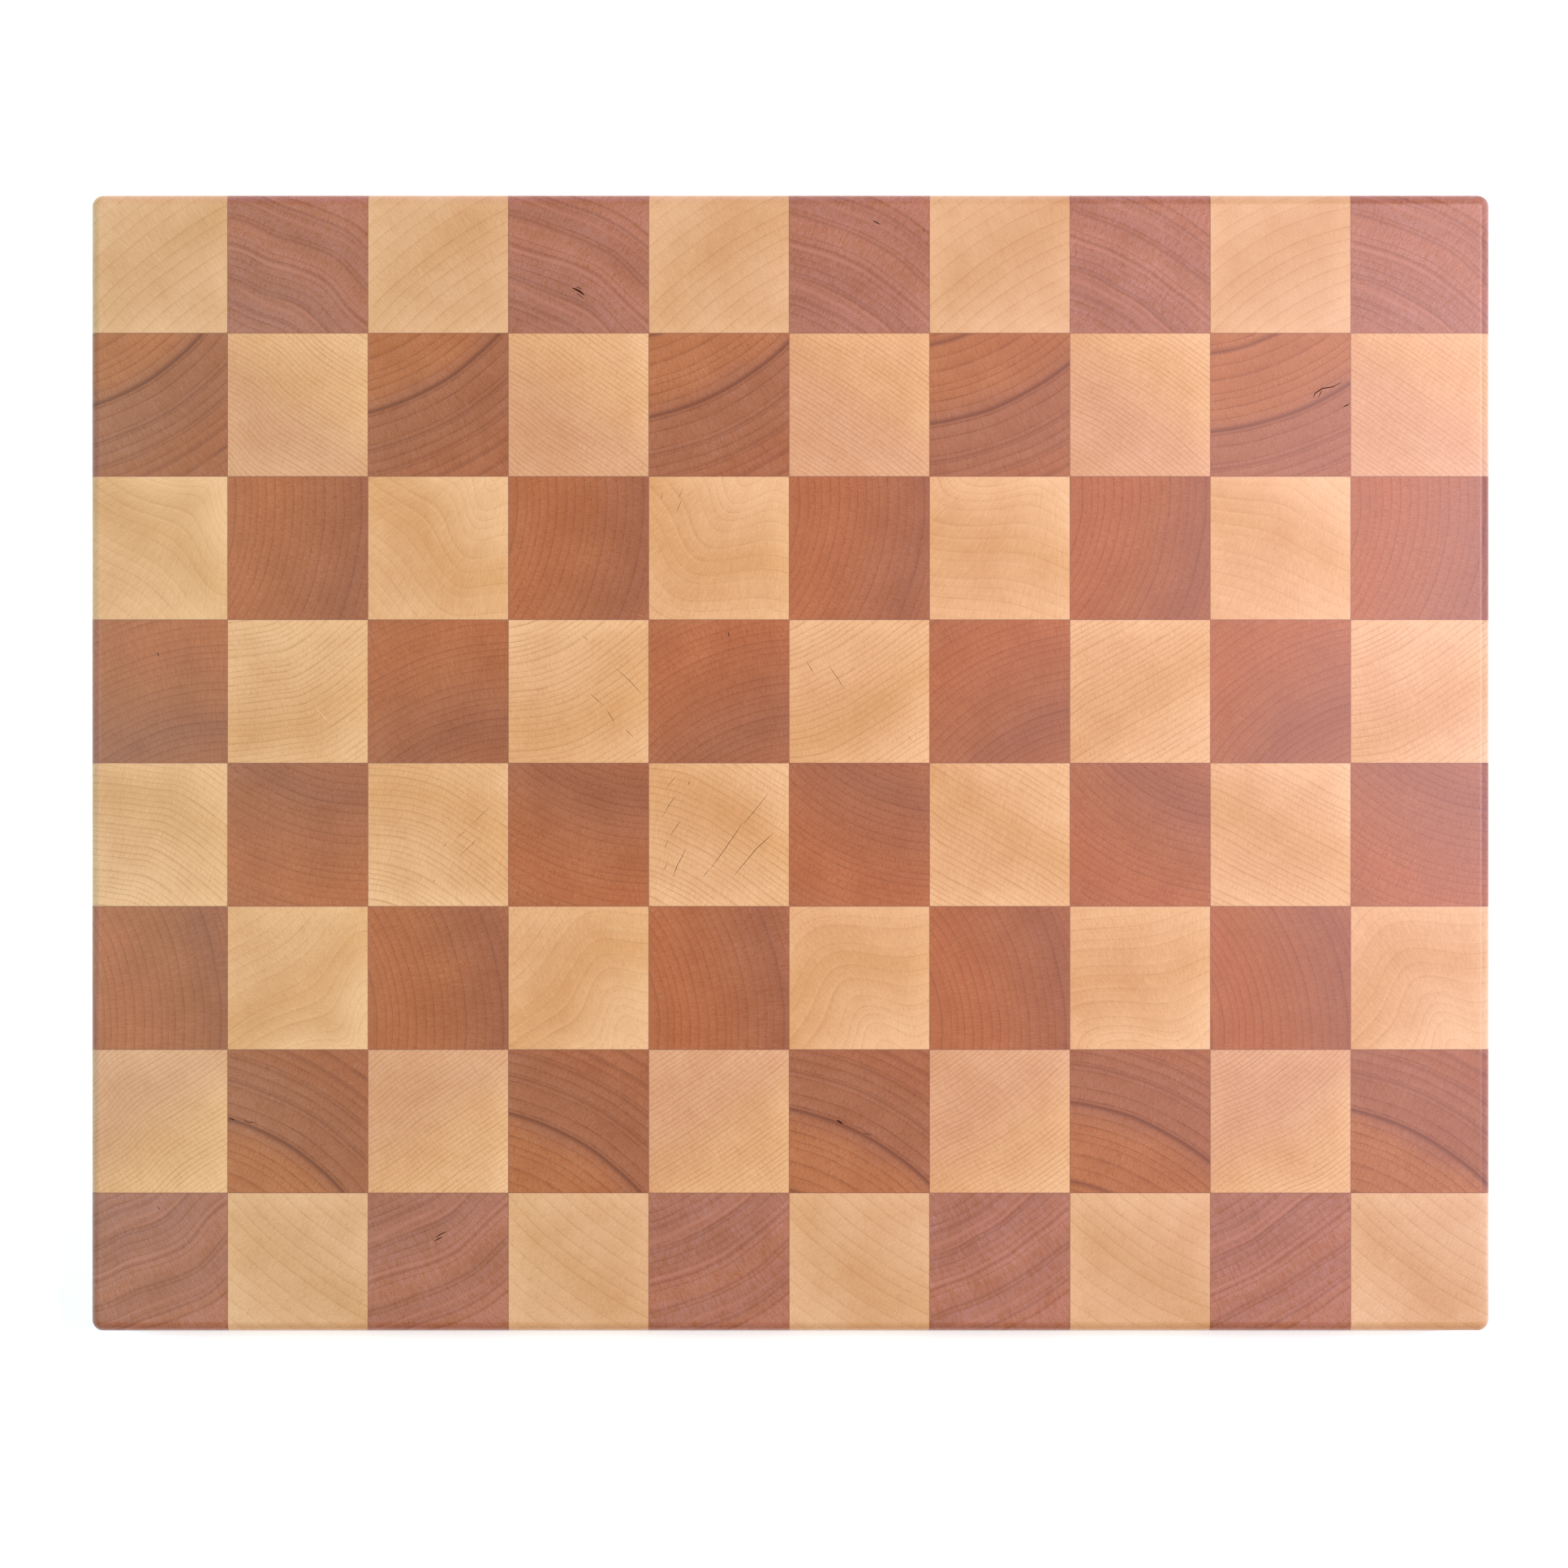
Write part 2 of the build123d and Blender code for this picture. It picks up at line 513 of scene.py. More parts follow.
STRIPS = {
    1: Strip(
        wood="maple",
        pith=(105, -133),
        drift=(-6.3, 5.3),
        spacing=4.4,
        irregular=0.4,
        line=0.27,
        line_width=0.34,
        bands=((-30, MAPLE_CREAM), (-12, MAPLE_CREAM), (2, MAPLE_BUFF), (16, MAPLE_CREAM)),
        paler_right=-0.02,
    ),
    2: Strip(
        wood="cherry",
        pith=(-44, 72),
        drift=(1.4, 1.4),
        glide=1.25,
        spacing=3.6,
        irregular=0.5,
        line=0.56,
        line_width=0.31,
        bands=(
            (-32, CHERRY_ORANGE),
            (-15, CHERRY_ORANGE),
            (-9, CHERRY_UMBER),
            (7, CHERRY_UMBER),
            (15, CHERRY_BROWN),
            (30, CHERRY_BROWN),
        ),
        warp=0.6,
        marks=(
            Mark(-33, 0.5, 1.2),
            Mark(-8.6, 0.72, 0.85),
            Mark(3, 0.38, 0.5),
            Mark(10, 0.3, 0.6),
            Mark(17, 0.3, 0.8),
        ),
    ),
    3: Strip(
        wood="maple",
        pith=(24, 30),
        drift=(-0.9, 2.3),
        spacing=4.2,
        irregular=0.5,
        line=0.23,
        line_width=0.36,
        bands=((-30, MAPLE_PALE), (-14, MAPLE_PALE), (8, MAPLE_GOLD), (22, MAPLE_MID), (30, MAPLE_MID)),
        folds=(Fold(1.2, 5, 24, -4.4), Fold(-1.2, 13, 8, -3.5), Fold(-0.9, 9, 30, -1.8)),
        streaks=0.15,
        paler_right=0.07,
    ),
    4: Strip(
        wood="cherry",
        pith=(21, -76),
        drift=(1.3, 2.1),
        spacing=2.3,
        irregular=0.5,
        line=0.46,
        line_width=0.26,
        bands=(
            (-30, CHERRY_BROWN),
            (-14, CHERRY_PURPLE),
            (-6, CHERRY_BROWN),
            (3, CHERRY_MID),
            (16, CHERRY_RED),
            (30, CHERRY_MID),
        ),
    ),
    5: Strip(
        wood="maple",
        pith=(-124, -300),
        drift=(-0.4, -15.7),
        spacing=1.95,
        irregular=0.35,
        line=0.46,
        line_width=0.27,
        bands=((-30, MAPLE_PALE), (-12, MAPLE_MID), (2, MAPLE_GOLD), (14, MAPLE_MID), (30, MAPLE_PALE)),
        warp=1.5,
        folds=(Fold(0.5, 6, 0, 7.3), Fold(-0.2, 2, 5, 5.4)),
        paler_right=0.07,
    ),
    6: Strip(
        wood="cherry",
        pith=(-77, -14),
        drift=(1.4, -0.5),
        spacing=2.6,
        irregular=0.45,
        line=0.42,
        line_width=0.28,
        bands=(
            (-30, CHERRY_MID),
            (-12, CHERRY_RED),
            (2, CHERRY_MID),
            (10, CHERRY_BROWN),
            (20, CHERRY_PURPLE),
            (30, CHERRY_BROWN),
        ),
    ),
    7: Strip(
        wood="maple",
        pith=(-55, 89),
        drift=(-7.2, 4.9),
        spacing=1.45,
        irregular=0.25,
        line=0.50,
        line_width=0.23,
        bands=((-30, MAPLE_PEACH), (-6, MAPLE_PEACH), (10, MAPLE_MID), (30, MAPLE_PALE)),
        folds=(Fold(1.3, 5.5, -9, 2.7), Fold(-1.5, 7, -7, 2.2)),
        paler_right=0.06,
    ),
    8: Strip(
        wood="cherry",
        pith=(-30, 63),
        drift=(-8.0, 12.6),
        spacing=3.6,
        irregular=0.9,
        line=0.54,
        line_width=0.30,
        bands=(
            (-30, CHERRY_MAUVE),
            (-8, CHERRY_MAUVE),
            (2, CHERRY_ROSE),
            (9, CHERRY_MAUVE),
            (18, CHERRY_ROSE),
            (30, CHERRY_ROSE),
        ),
        warp=1.8,
        waves=(Wave(0.8, 30, 16.5, -0.8),),
        marks=(
            Mark(-19, 0.25, 0.6),
            Mark(-11, 0.3, 0.5),
            Mark(-2, 0.25, 0.6),
            Mark(6, 0.3, 0.5),
            Mark(15, 0.3, 0.6),
        ),
        streaks=0.4,
        streak_width=1.2,
    ),
}

BAND_REACH = 32.0  # mm either side of the middle that the colour bands cover
MIDDLE_SLICE = 4.5  # at this slice a fold leaves the ring at the strip's middle where it was


@dataclass
class WoodLook:
    """What all strips of one wood share."""

    line_colour: tuple
    streak_colour: tuple
    gum_and_check_shade_colour: tuple  # inside checks and pockets: painted shade in the maple checks, the dark gum itself in the cherry pockets
    fine_weights: tuple  # how far red, green and blue follow the fine grain: alike to the eye
    late_shade: float  # how far a ring darkens towards its outer side
    blotch: float  # slow light and dark
    blotch_weights: tuple  # how far red, green and blue follow it
    rays: float  # how far the rays show, and so on for the pores
    pores: float
    sealed_rim: float  # how much paler the wood stays near a glue line
    roughness: float = 0.39


WOODS = {
    "maple": WoodLook(
        line_colour=MAPLE_LINE,
        streak_colour=MAPLE_STREAK,
        gum_and_check_shade_colour=MAPLE_CHECK_SHADE,
        fine_weights=(0.6, 1.0, 1.7),
        late_shade=0.05,
        blotch=0.36,
        blotch_weights=(0.55, 1.0, 1.6),
        rays=0.17,
        pores=0.34,
        sealed_rim=0.08,
    ),
    "cherry": WoodLook(
        line_colour=CHERRY_LINE,
        streak_colour=CHERRY_STREAK,
        gum_and_check_shade_colour=BLACK_GUM,
        fine_weights=(0.6, 1.3, 3.0),
        late_shade=0.09,
        blotch=0.36,
        blotch_weights=(0.75, 1.3, 2.2),
        rays=0.26,
        pores=0.62,
        sealed_rim=0.03,
    ),
}


# Noise in the wood, as repeats in each mm across, up and along the grain. It is long along the grain.
BEND_SCALES = (1 / 24, 1 / 24, 1 / 190)
BLOTCH_SCALES = (1 / 13, 1 / 13, 1 / 70)
PORE_SCALES = (2.6, 2.6, 0.11)
FLECK_SCALES = (0.9, 0.9, 0.5)

# Noise that follows the rings, as repeats in each mm round the ring and outward.
RAY_SCALES = (3.3, 0.35, 0.4)  # the third is along the grain
BEAD_SCALES = (0.22, 0.3)
STREAK_ROUND_RING = 0.03
BAND_WANDER_SCALES = (0.06, 0.02)  # round the ring and along the grain

# Steps through the noise from one strip to the next, so that their rings, bands and blotches differ.
BEND_SEED = 31.7
BLOTCH_SEED = 11.9
RING_WIDTH_SEED = 57.3
BEAD_SEED = 9.1
STREAK_SEED = 5.7
BAND_SEED = 3.3
LINE_SEED = 0.37  # added to the numbers of a ring and its strip

BAND_WANDER = 7.0  # mm that the borders of the colour bands move in and out
RINGS_IN_STEP = 3.1  # rings over which their widths stay alike
LINE_FADE_IN = 1.7  # a ring's dark line fades in over this many times its width
LINE_FADE_OUT = 0.6
LINE_STRENGTHS = (0.5, 1.0)  # of the faintest ring and the darkest
WORN_NOISE = (0.30, 0.66)  # beads of noise that wear a line down
WORN_STRENGTHS = (0.45, 1.0)
MARK_FADE_IN = 2.6
MARK_FADE_OUT = 0.9
STREAK_NOISE = (0.55, 0.75)
PORE_NOISE = (0.50, 0.78)
GRAIN_CLOUD = -0.5  # light and dark in the finest grain, on top of its pores
GRAIN_PORE = 0.6

RIGHT_WEIGHTS = (0.55, 1.0, 1.35)  # how far red, green and blue follow paler_right
RIM_WEIGHTS = (0.7, 1.0, 1.3)  # and sealed_rim
SEALED_REACH = 9.0  # mm from a glue line
STAIN_REACH = 0.35  # mm
STAIN = 0.12
FLECK_NOISE = (0.775, 0.80)
FLECK_COVER = 0.6
PIT_EDGE = 0.6  # the value of pit at which a check has its full colour
# how far the inside colour of a check covers: painted shade in maple checks, dark gum in cherry pockets
GUM_AND_CHECK_SHADE_COVER = 0.9
SCRATCH_COVER = 0.6

ROUGH_BLOTCH = 0.06  # how far roughness follows the blotches
ROUGH_PORE = 0.03
RAY_HEIGHT = 0.5  # of a ray, where the depth of a pore is 1
WOOD_BUMP = 0.006  # mm


@dataclass
class Place:
    """Where each point of the wood is, in mm: in its strip, and in its growth rings."""

    across: bpy.types.NodeSocket
    up: bpy.types.NodeSocket
    along: bpy.types.NodeSocket
    depth: bpy.types.NodeSocket  # outward from the strip's middle
    around: bpy.types.NodeSocket  # round the ring


def find_place(g, number, strip):
    """The place of a point from where it was in its strip, with the rings drifting, bent and folded."""
    across, up, along = g.separate(g.attribute("strip_point").outputs["Vector"])
    slices = g.multiply(along, 1 / SLICE_STEP)
    u, v, w = g.scaled((across, up, along), BEND_SCALES)
    bend = g.separate(g.noise(g.vector(g.add(u, BEND_SEED * number), v, w), detail=1.0)[1])
    pith_u = g.add(strip.pith[0], g.multiply(slices, strip.drift[0]))
    pith_v = g.add(strip.pith[1], g.multiply(slices, strip.drift[1]))
    du = g.add(g.subtract(across, pith_u), g.multiply(g.subtract(bend[0], 0.5), 2 * strip.warp))
    dv = g.add(g.subtract(up, pith_v), g.multiply(g.subtract(bend[1], 0.5), 2 * strip.warp))

    reach = math.hypot(*strip.pith)
    out_u, out_v = -strip.pith[0] / reach, -strip.pith[1] / reach
    outward = g.add(g.multiply(du, out_u), g.multiply(dv, out_v))
    sideways = g.subtract(g.multiply(dv, out_u), g.multiply(du, out_v))
    around = g.multiply(g.math("ARCTAN2", sideways, outward), reach)

    depth = g.subtract(g.length(du, dv), g.length(pith_u, pith_v))
    depth = g.subtract(depth, g.multiply(slices, strip.glide))
    for fold in strip.folds:
        place = g.subtract(g.subtract(around, fold.place), g.multiply(slices, fold.slide))
        at_middle = math.hypot(fold.place + MIDDLE_SLICE * fold.slide, fold.width)
        rise = g.subtract(g.length(place, fold.width), at_middle)
        depth = g.add(depth, g.multiply(rise, fold.slope))
    for wave in strip.waves:
        place = g.subtract(g.subtract(around, wave.start), g.multiply(slices, wave.slide))
        swing = g.math("SINE", g.multiply(place, 2 * math.pi / wave.length))
        depth = g.add(depth, g.multiply(swing, wave.height))
    return Place(across, up, along, depth, around)


def strip_noise(g, at, scales, seed=0.0, **settings):
    """Noise that is fixed in the strip, whatever way its rings run."""
    u, v, w = g.scaled((at.across, at.up, at.along), scales)
    return g.noise(g.vector(g.add(u, seed), v, w), **settings)[0]


def ring_lines(g, number, strip, at):
    """Strength of the dark ring line, and how far through its ring each point is."""
    coarse = g.multiply(at.depth, 1 / (RINGS_IN_STEP * strip.spacing))
    uneven = g.noise_line(g.add(coarse, RING_WIDTH_SEED * number), detail=1.0)
    phase = g.add(
        g.multiply(at.depth, 1 / strip.spacing),
        g.multiply(g.subtract(uneven, 0.5), 4 * strip.irregular),
    )
    ring = g.math("FLOOR", phase)
    through = g.math("FRACT", phase)
    before = g.multiply(g.subtract(1.0, through), strip.spacing)
    after = g.multiply(through, strip.spacing)
    inner = g.rise(before, LINE_FADE_IN * strip.line_width, 0.0)
    outer = g.rise(after, LINE_FADE_OUT * strip.line_width, 0.0)
    line = g.math("MAXIMUM", inner, outer)
    own = g.rise(g.random(g.add(ring, LINE_SEED + number)), 0.0, 1.0, *LINE_STRENGTHS)
    bead_point = g.vector(*g.scaled((at.around, at.depth), BEAD_SCALES), BEAD_SEED * number)
    worn = g.rise(g.noise(bead_point, detail=1.0)[0], *WORN_NOISE, *WORN_STRENGTHS)
    return g.multiply(g.multiply(line, own), worn), through


def mark_shade(g, mark, depth):
    """A ring that stands out: a sharp outer side and a soft inner one."""
    offset = g.subtract(depth, mark.depth)
    inner = g.rise(offset, -MARK_FADE_IN * mark.width, 0.0)
    outer = g.rise(offset, MARK_FADE_OUT * mark.width, 0.0)
    soft = g.multiply(g.multiply(inner, inner), outer)
    return g.multiply(soft, mark.strength)


def band_colour(g, number, strip, at):
    """The strip's colour bands, which follow the rings loosely."""
    stops = [((place + BAND_REACH) / (2 * BAND_REACH), colour) for place, colour in strip.bands]
    wander_point = g.vector(*g.scaled((at.around, at.along), BAND_WANDER_SCALES), BAND_SEED * number)
    wander = g.multiply(g.subtract(g.noise(wander_point)[0], 0.5), BAND_WANDER)
    banded = g.add(at.depth, wander)
    return g.ramp(g.multiply(g.add(banded, BAND_REACH), 0.5 / BAND_REACH), stops)


def add_ring_marks(g, number, strip, look, at, line, colour):
    """Dark ring lines, rings that stand out, and pale streaks."""
    colour = g.blend(g.multiply(line, strip.line), colour, look.line_colour)
    for mark in strip.marks:
        colour = g.blend(mark_shade(g, mark, at.depth), colour, look.line_colour)
    if strip.streaks:
        scales = (STREAK_ROUND_RING, 1 / strip.streak_width)
        layers = g.vector(*g.scaled((at.around, at.depth), scales), STREAK_SEED * number)
        streak = g.multiply(g.rise(g.noise(layers, detail=1.0)[0], *STREAK_NOISE), strip.streaks)
        colour = g.blend(streak, colour, look.streak_colour)
    return colour


def add_joint_edges(g, look, at, colour):
    """Wood near a joint is sealed by the glue, and stained right beside it."""
    to_joint_u = g.subtract(HALF_BLOCK_U, g.math("ABSOLUTE", at.across))
    to_joint_v = g.subtract(HALF_BLOCK_V, g.math("ABSOLUTE", at.up))
    to_joint = g.math("MINIMUM", to_joint_u, to_joint_v)
    colour = g.tint(colour, g.rise(to_joint, SEALED_REACH, 0.0, 0.0, look.sealed_rim), RIM_WEIGHTS)
    stain = g.rise(to_joint, STAIN_REACH, 0.0, 0.0, STAIN)
    return g.blend(stain, colour, JOINT_STAIN)


def add_flaws(g, look, at, colour):
    """Pale flecks, and the insides of checks and scratches; the maple checks get painted shade, the
    cherry pockets their dark gum.
    """
    fleck_noise = strip_noise(g, at, FLECK_SCALES, detail=3.0, roughness=0.8)
    fleck = g.rise(fleck_noise, *FLECK_NOISE)
    colour = g.blend(g.multiply(fleck, FLECK_COVER), colour, PALE_FLECK)
    pit = g.attribute("pit").outputs["Fac"]
    # painted shade down in the maple checks; the dark gum colour in the cherry pockets
    colour = g.blend(g.rise(pit, 0.0, PIT_EDGE, 0.0, GUM_AND_CHECK_SHADE_COVER), colour, look.gum_and_check_shade_colour)
    return g.blend(g.rise(pit, 0.0, -PIT_EDGE, 0.0, SCRATCH_COVER), colour, PALE_FLECK)


def make_wood(number, strip):
    """The solid wood of one strip, which all of its blocks share."""
    look = WOODS[strip.wood]
    g = material_graph(f"{strip.wood}_strip_{number}")
    at = find_place(g, number, strip)
    line, through = ring_lines(g, number, strip, at)
    blotch = g.subtract(strip_noise(g, at, BLOTCH_SCALES, BLOTCH_SEED * number, detail=2.0), 0.5)
    ray_point = g.vector(*g.scaled((at.around, at.depth, at.along), RAY_SCALES))
    ray = g.subtract(g.noise(ray_point, detail=1.0)[0], 0.5)
    pore_noise = strip_noise(g, at, PORE_SCALES, detail=2.0, roughness=0.7)
    pore = g.rise(pore_noise, *PORE_NOISE)
    cloud = g.multiply(g.subtract(pore_noise, 0.5), GRAIN_CLOUD)
    grain = g.subtract(cloud, g.multiply(pore, GRAIN_PORE))
    late = g.multiply(through, through)

    colour = band_colour(g, number, strip, at)
    colour = g.tint(colour, g.multiply(blotch, look.blotch), look.blotch_weights)
    colour = g.tint(colour, g.multiply(at.across, strip.paler_right / HALF_BLOCK_U), RIGHT_WEIGHTS)
    colour = g.tint(colour, g.multiply(late, -look.late_shade), look.fine_weights)
    colour = g.tint(colour, g.multiply(ray, 2 * look.rays), look.fine_weights)
    colour = g.tint(colour, g.multiply(grain, look.pores), look.fine_weights)
    colour = add_ring_marks(g, number, strip, look, at, line, colour)
    colour = add_joint_edges(g, look, at, colour)
    colour = add_flaws(g, look, at, colour)

    roughness = g.add(look.roughness, g.multiply(blotch, ROUGH_BLOTCH))
    roughness = g.add(roughness, g.multiply(pore, ROUGH_PORE))
    height = g.subtract(g.multiply(ray, RAY_HEIGHT), pore)
    return g.finish(g.surface(colour, roughness, height, WOOD_BUMP))


GLUE_COLOUR = srgb(140, 86, 58)
GLUE_ROUGHNESS = 0.42
GLUE_BUMP = 0.03  # mm
GLUE_GRAIN = (900, 900, 900)  # repeats in each metre


def make_glue():
    """Dried wood glue: a thin dark line with a slightly uneven surface."""
    g = material_graph("dried_wood_glue")
    place = g.node("ShaderNodeTexCoord", {}).outputs["Object"]
    scaled = g.node("ShaderNodeVectorMath", {0: place, 1: GLUE_GRAIN}, operation="MULTIPLY").outputs[0]
    uneven = g.noise(scaled, detail=2.0)[0]
    return g.finish(g.surface(GLUE_COLOUR, GLUE_ROUGHNESS, uneven, GLUE_BUMP))


# ---------------------------------------------------------------- checks and pockets

# By (row, column), all in the top of the board.
CHECKS = {
    (5, 5): (
        Check(((0.20, 0.08), (0.12, 0.18)), 0.12, 0.25),
        Check(((0.295, 0.12), (0.275, 0.16)), 0.17, 0.25),
        Check(((0.20, 0.22), (0.15, 0.28), (0.095, 0.375)), 0.15, 0.35),
        Check(((0.236, 0.39), (0.147, 0.51)), 0.13, 0.30),
        Check(((0.14, 0.53), (0.11, 0.60)), 0.12, 0.25),
        Check(((0.275, 0.58), (0.20, 0.72), (0.167, 0.805)), 0.17, 0.40),
        Check(((0.13, 0.70), (0.108, 0.75)), 0.15, 0.25),
        Check(((0.86, 0.20), (0.74, 0.35), (0.665, 0.435)), 0.14, 0.35),
        Check(((0.675, 0.41), (0.55, 0.59), (0.42, 0.765)), 0.18, 0.45),
        Check(((0.43, 0.74), (0.385, 0.80)), 0.14, 0.30),
        Check(((0.905, 0.475), (0.77, 0.595), (0.578, 0.82)), 0.19, 0.45),
    ),
    (4, 2): (Check(((0.61, 0.595), (0.67, 0.66), (0.745, 0.74)), 0.30, 0.15, shade=-1.0),),
    (4, 4): (
        Check(((0.76, 0.33), (0.87, 0.43), (0.96, 0.53)), 0.15, 0.40),
        Check(((0.575, 0.51), (0.68, 0.60)), 0.13, 0.35),
        Check(((0.695, 0.62), (0.765, 0.73)), 0.15, 0.35),
        Check(((0.83, 0.76), (0.89, 0.82)), 0.15, 0.30),
        Check(((0.52, 0.10), (0.575, 0.15)), 0.12, 0.20),
    ),
    (4, 6): (
        Check(((0.12, 0.285), (0.177, 0.38)), 0.15, 0.35),
        Check(((0.28, 0.32), (0.34, 0.40), (0.397, 0.495)), 0.15, 0.40),
        Check(((0.84, 0.80), (0.875, 0.845)), 0.12, 0.25),
    ),
    (5, 3): (
        Check(((0.87, 0.30), (0.73, 0.44)), 0.12, 0.20),
        Check(((0.70, 0.47), (0.62, 0.53)), 0.12, 0.20),
        Check(((0.565, 0.55), (0.535, 0.59)), 0.13, 0.25),
        Check(((0.79, 0.52), (0.64, 0.66)), 0.12, 0.20),
        Check(((0.475, 0.815), (0.465, 0.83)), 0.22, 0.25),
    ),
    (3, 5): (
        Check(((0.10, 0.115), (0.08, 0.165)), 0.13, 0.25),
        Check(((0.243, 0.075), (0.21, 0.155)), 0.12, 0.25),
        Check(((0.235, 0.16), (0.19, 0.26)), 0.15, 0.35),
    ),
    (2, 9): (
        Check(((0.94, 0.34), (0.87, 0.375), (0.80, 0.385), (0.745, 0.42), (0.735, 0.455)), 0.35, 0.8),
        Check(((0.80, 0.395), (0.765, 0.455)), 0.22, 0.6),
        Check(((0.995, 0.495), (0.945, 0.515)), 0.34, 0.6),
    ),
    (7, 2): (
        Check(((0.005, 0.475), (0.055, 0.495)), 0.34, 0.6),
        Check(((0.11, 0.49), (0.15, 0.51), (0.21, 0.505)), 0.22, 0.5),
    ),
    (7, 6): (
        Check(((0.335, 0.49), (0.385, 0.52)), 0.62, 0.8),
        Check(((0.53, 0.58), (0.59, 0.60)), 0.22, 0.4),
    ),
    (1, 4): (
        Check(((0.455, 0.675), (0.50, 0.695), (0.545, 0.73)), 0.64, 0.8),
        Check(((0.475, 0.665), (0.53, 0.685)), 0.27, 0.4),
        Check(((0.48, 0.71), (0.545, 0.755)), 0.22, 0.4),
    ),
    (1, 6): (
        Check(((0.59, 0.185), (0.655, 0.22)), 0.39, 0.7),
        Check(((0.955, 0.24), (0.962, 0.275)), 0.20, 0.4),
    ),
    (8, 3): (
        Check(((0.563, 0.276), (0.52, 0.295), (0.478, 0.323)), 0.29, 0.7),
        Check(((0.537, 0.315), (0.50, 0.33), (0.47, 0.349)), 0.34, 0.7),
    ),
    (8, 1): (Check(((0.485, 0.095), (0.505, 0.12)), 0.27, 0.4),),
    (4, 1): (Check(((0.485, 0.225), (0.50, 0.255)), 0.29, 0.4),),
    (4, 5): (Check(((0.565, 0.08), (0.572, 0.12)), 0.27, 0.4),),
}


# ---------------------------------------------------------------- the board


def add_blocks(materials):
    for row in range(1, ROWS + 1):
        for column in range(1, COLUMNS + 1):
            name = f"{species(row, column)}_block_r{row}_c{column}"
            mesh = piece_mesh(name, column_range(column), row_range(row), CHECKS.get((row, column), ()))
            add_strip_points(mesh, row, column)
            strip_number = row if column % 2 else ROWS + 1 - row
            piece = add_piece(name, mesh, materials[strip_number])
            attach(piece, "root")
            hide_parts(cad_node(row, column))


def add_film(name, x_range, y_range, node, material):
    piece = add_piece(name, piece_mesh(name, x_range, y_range), material)
    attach(piece, "root")
    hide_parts(node)


def add_glue(material):
    """Every glue film, in lengths that reach from one joint to the next."""
    for column in range(1, COLUMNS + 1):
        for row in range(1, ROWS):
            name = f"strip_glue_r{row}_c{column}"
            node = f"strip_glue_films_{row}"
            add_film(name, column_range(column), STRIP_FILMS[row - 1], node, material)
    for column in range(1, COLUMNS):
        for row in range(1, ROWS + 1):
            front, back = row_range(row)
            if row < ROWS:
                front = STRIP_FILMS[row - 1][0]
            name = f"slice_glue_c{column}_r{row}"
            node = f"slice_glue_film_{column}"
            add_film(name, SLICE_FILMS[column - 1], (front, back), node, material)


add_blocks({number: make_wood(number, strip) for number, strip in STRIPS.items()})
add_glue(make_glue())


# ---------------------------------------------------------------- floor, light and camera

FLOOR_SIZE = 6.0
FLOOR_GAP = 0.2 * MM  # under the board
FLOOR_GLOW = 0.60
FLOOR_ROUGHNESS = 0.8
FLOOR_WHITES = ((0.0, (0.93, 0.93, 0.93, 1.0)), (1.0, (0.96, 0.96, 0.96, 1.0)))
CAMERA_HEIGHT = 1.6  # above the top of the board
CAMERA_SHIFT = (-2.0 * MM, -6.5 * MM)  # the camera isn't quite over the board's centre
VIEW_WIDTH = 486.4 * MM  # seen at the height of the board's top
CAMERA_RANGE = (0.01, 20.0)  # how near and how far it sees
SENSOR_WIDTH = 36.0  # mm
LAMPS_FACE = Vector((0, 0, 0))  # the middle of the underside
WORLD_GLOW = (0.18, 0.08, 0.05, 1.0)
BAND_GLOW = (0.75, 0.9, 1.5, 1.0)  # low down, behind the board and to its right
BAND_TOP = (0.86, 0.41)  # of z, from where the band starts down to where it is full
BAND_SIDE = (-0.1, 0.8)  # of x + y, from where the band starts round to where it is full


def add_floor():
    """A glowing white light table, which can't be seen from below."""
    half = FLOOR_SIZE / 2
    height = BOARD_LOW.z - FLOOR_GAP
    corners = [(-half, -half, height), (half, -half, height), (half, half, height), (-half, half, height)]
    mesh = bpy.data.meshes.new("floor")
    mesh.from_pydata(corners, [], [(0, 1, 2, 3)])
    floor = bpy.data.objects.new("floor", mesh)
    bpy.context.scene.collection.objects.link(floor)
    g = material_graph("light_table")
    mottle = g.noise(g.node("ShaderNodeTexCoord", {}).outputs["Object"], detail=2.0)[0]
    white = g.surface(g.ramp(mottle, FLOOR_WHITES), FLOOR_ROUGHNESS, mottle, bump_mm=0.0, glow=FLOOR_GLOW)
    clear = g.node("ShaderNodeBsdfTransparent", {}).outputs[0]
    below = g.node("ShaderNodeNewGeometry", {}).outputs["Backfacing"]
    one_sided = g.node("ShaderNodeMixShader", {0: below, 1: white, 2: clear}).outputs[0]
    mesh.materials.append(g.finish(one_sided))


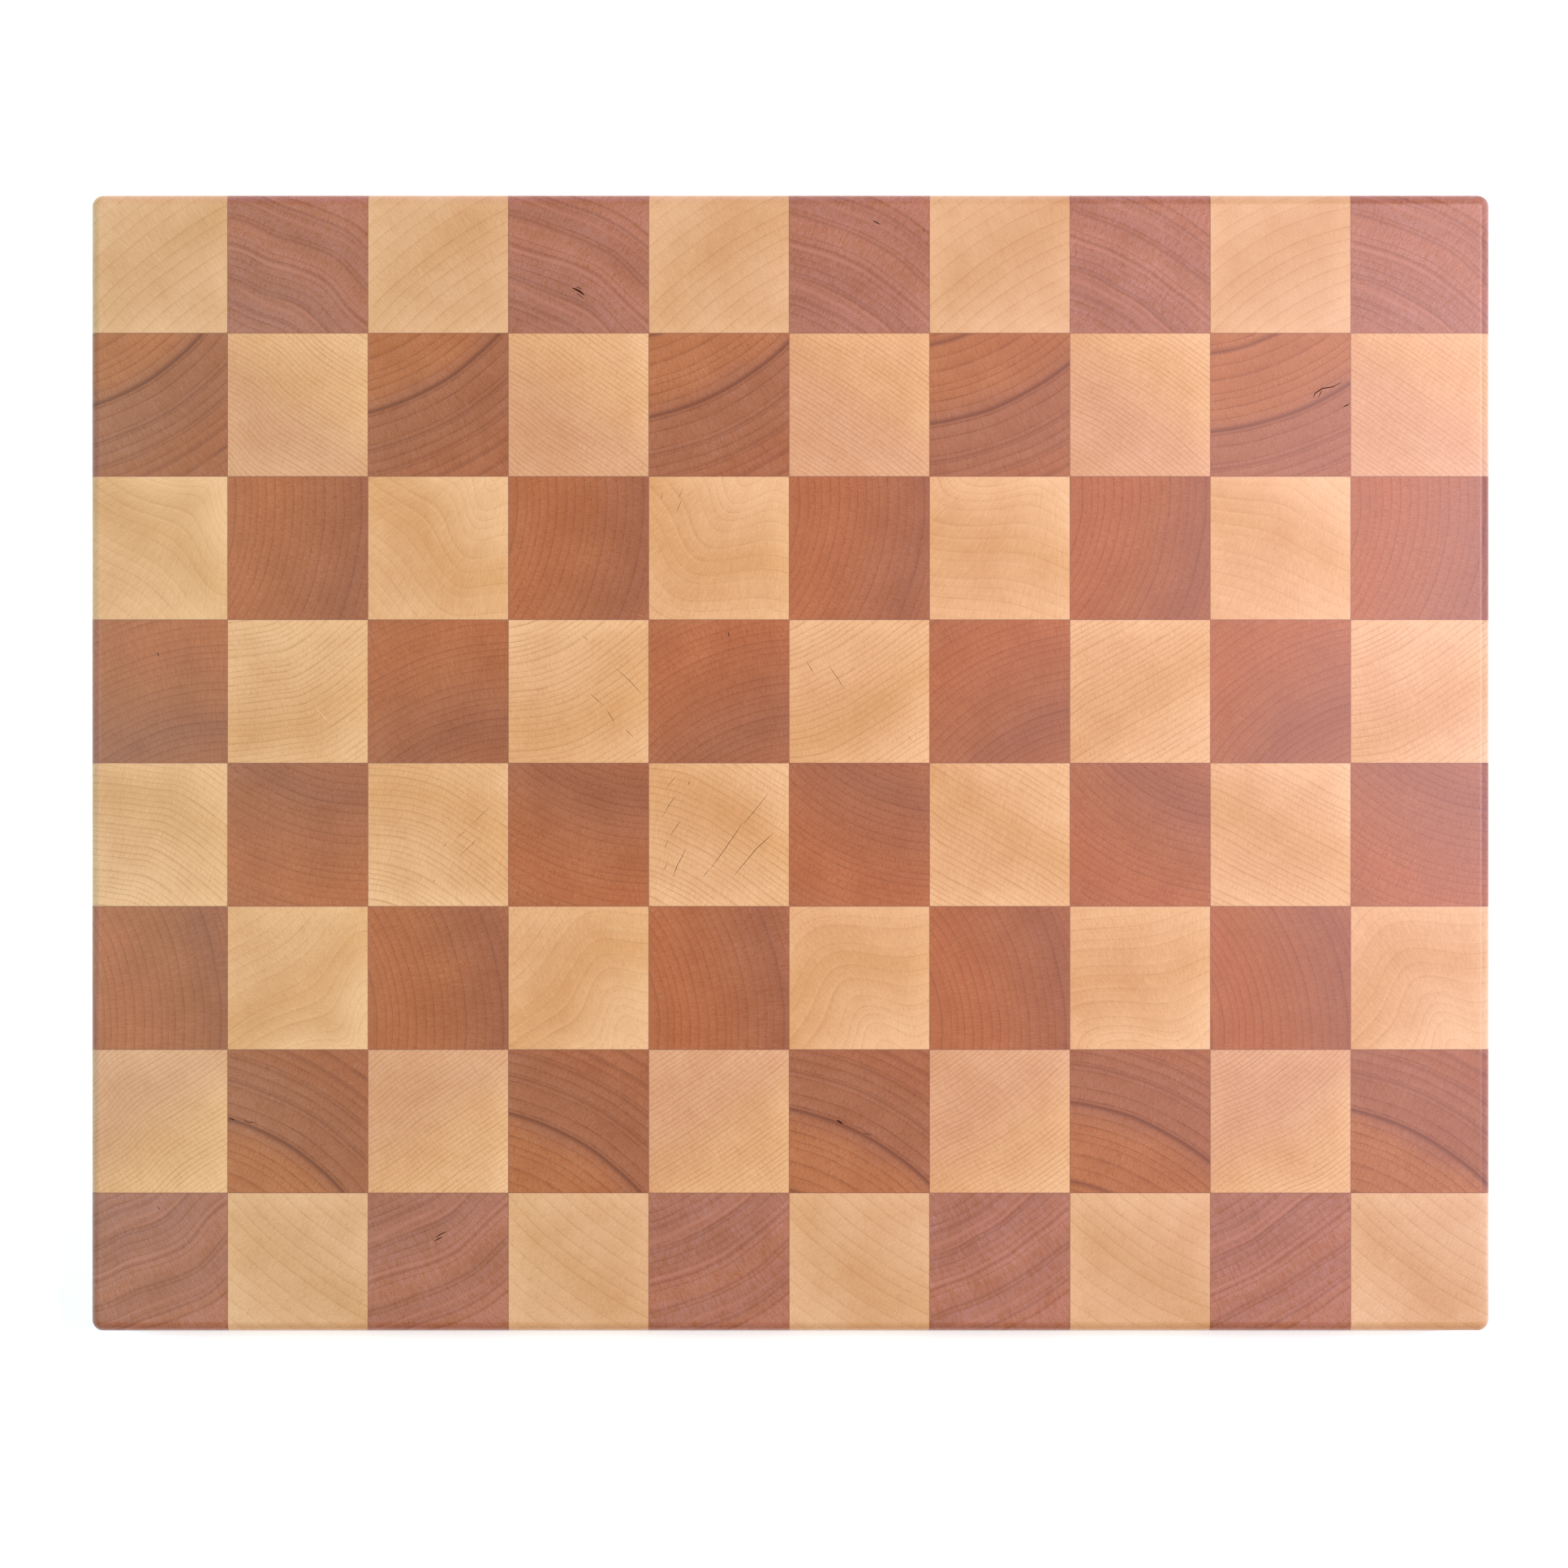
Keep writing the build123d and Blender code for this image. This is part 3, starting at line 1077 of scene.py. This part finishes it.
def add_area_light(name, place, size, energy, colour):
    light = bpy.data.lights.new(name, "AREA")
    light.shape = "RECTANGLE"
    light.size, light.size_y = size
    light.energy = energy
    light.color = colour
    lamp = bpy.data.objects.new(name, light)
    lamp.location = place
    lamp.rotation_mode = "QUATERNION"
    lamp.rotation_quaternion = (LAMPS_FACE - Vector(place)).to_track_quat("-Z", "Y")
    bpy.context.scene.collection.objects.link(lamp)


def add_world():
    """Faint light from all round, with a brighter band low down behind the board and to its right."""
    g = Graph(bpy.data.worlds.new("soft_box"))
    x, y, z = g.separate(g.node("ShaderNodeTexCoord", {}).outputs["Generated"])
    low_down = g.rise(z, *BAND_TOP)
    behind_right = g.rise(g.add(x, y), *BAND_SIDE)
    colour = g.blend(g.multiply(low_down, behind_right), WORLD_GLOW, BAND_GLOW)
    background = g.node("ShaderNodeBackground", {"Color": colour}).outputs[0]
    g.node("ShaderNodeOutputWorld", {"Surface": background})
    bpy.context.scene.world = g.owner


def add_lights():
    add_world()
    add_area_light(
        "key", place=(0.70, 0.15, 1.54), size=(0.30, 0.50), energy=23.5, colour=(1.0, 0.645, 0.675)
    )
    add_area_light(
        "left_fill", place=(-0.70, 0.0, 1.54), size=(0.30, 0.50), energy=4.8, colour=(0.20, 1.0, 0.72)
    )
    add_area_light(
        "left_strip", place=(-0.50, 0.0, 0.36), size=(0.30, 0.70), energy=1.7, colour=(0.35, 0.68, 1.0)
    )
    add_area_light(
        "right_strip", place=(0.50, 0.0, 0.36), size=(0.30, 0.70), energy=2.0, colour=(0.05, 0.45, 1.0)
    )


def add_camera():
    camera = bpy.data.cameras.new("camera")
    camera.sensor_width = SENSOR_WIDTH
    camera.lens = camera.sensor_width * CAMERA_HEIGHT / VIEW_WIDTH
    camera.clip_start, camera.clip_end = CAMERA_RANGE
    holder = bpy.data.objects.new("camera", camera)
    holder.location = (*CAMERA_SHIFT, BOARD_HIGH.z + CAMERA_HEIGHT)
    bpy.context.scene.collection.objects.link(holder)
    bpy.context.scene.camera = holder


add_floor()
add_lights()
add_camera()
bpy.context.scene.view_settings.view_transform = "Standard"
